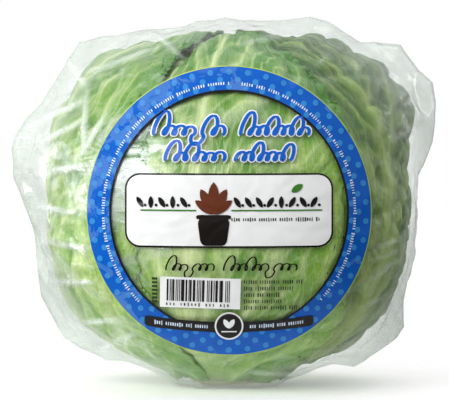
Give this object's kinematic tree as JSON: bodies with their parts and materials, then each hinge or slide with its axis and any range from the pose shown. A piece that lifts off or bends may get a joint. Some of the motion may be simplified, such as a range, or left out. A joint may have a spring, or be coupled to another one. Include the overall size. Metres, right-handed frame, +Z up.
{
  "type": "film-wrapped head of iceberg lettuce",
  "caption": "Round head of crisp lettuce standing on its cut stem, with cupped overlapping leaves round a packed heart, in a clear crinkled film wrap with a round printed front.",
  "frame": {"origin": "on the surface that the wrapped head stands on, under the middle of its overall outline", "axes": "+Z up from the cut stem to the crown, -Y towards the printed front of the wrap, +X to the right as seen from the front"},
  "size_m": [0.1844, 0.1528, 0.1593],
  "materials": {
    "heart": "satin",
    "stem": "matte",
    "inner_leaf": "satin",
    "outer_leaf": "satin",
    "film": "gloss"
  },
  "bodies": {
    "root": {"heart": "heart", "stem_butt": "stem", "inner_leaf_1": "inner_leaf", "inner_leaf_2": "inner_leaf", "inner_leaf_3": "inner_leaf", "inner_leaf_4": "inner_leaf", "inner_leaf_5": "inner_leaf", "outer_leaf_1": "outer_leaf", "outer_leaf_2": "outer_leaf", "outer_leaf_3": "outer_leaf", "outer_leaf_4": "outer_leaf", "outer_leaf_5": "outer_leaf", "film_wrap": "film"}
  },
  "joints": []
}
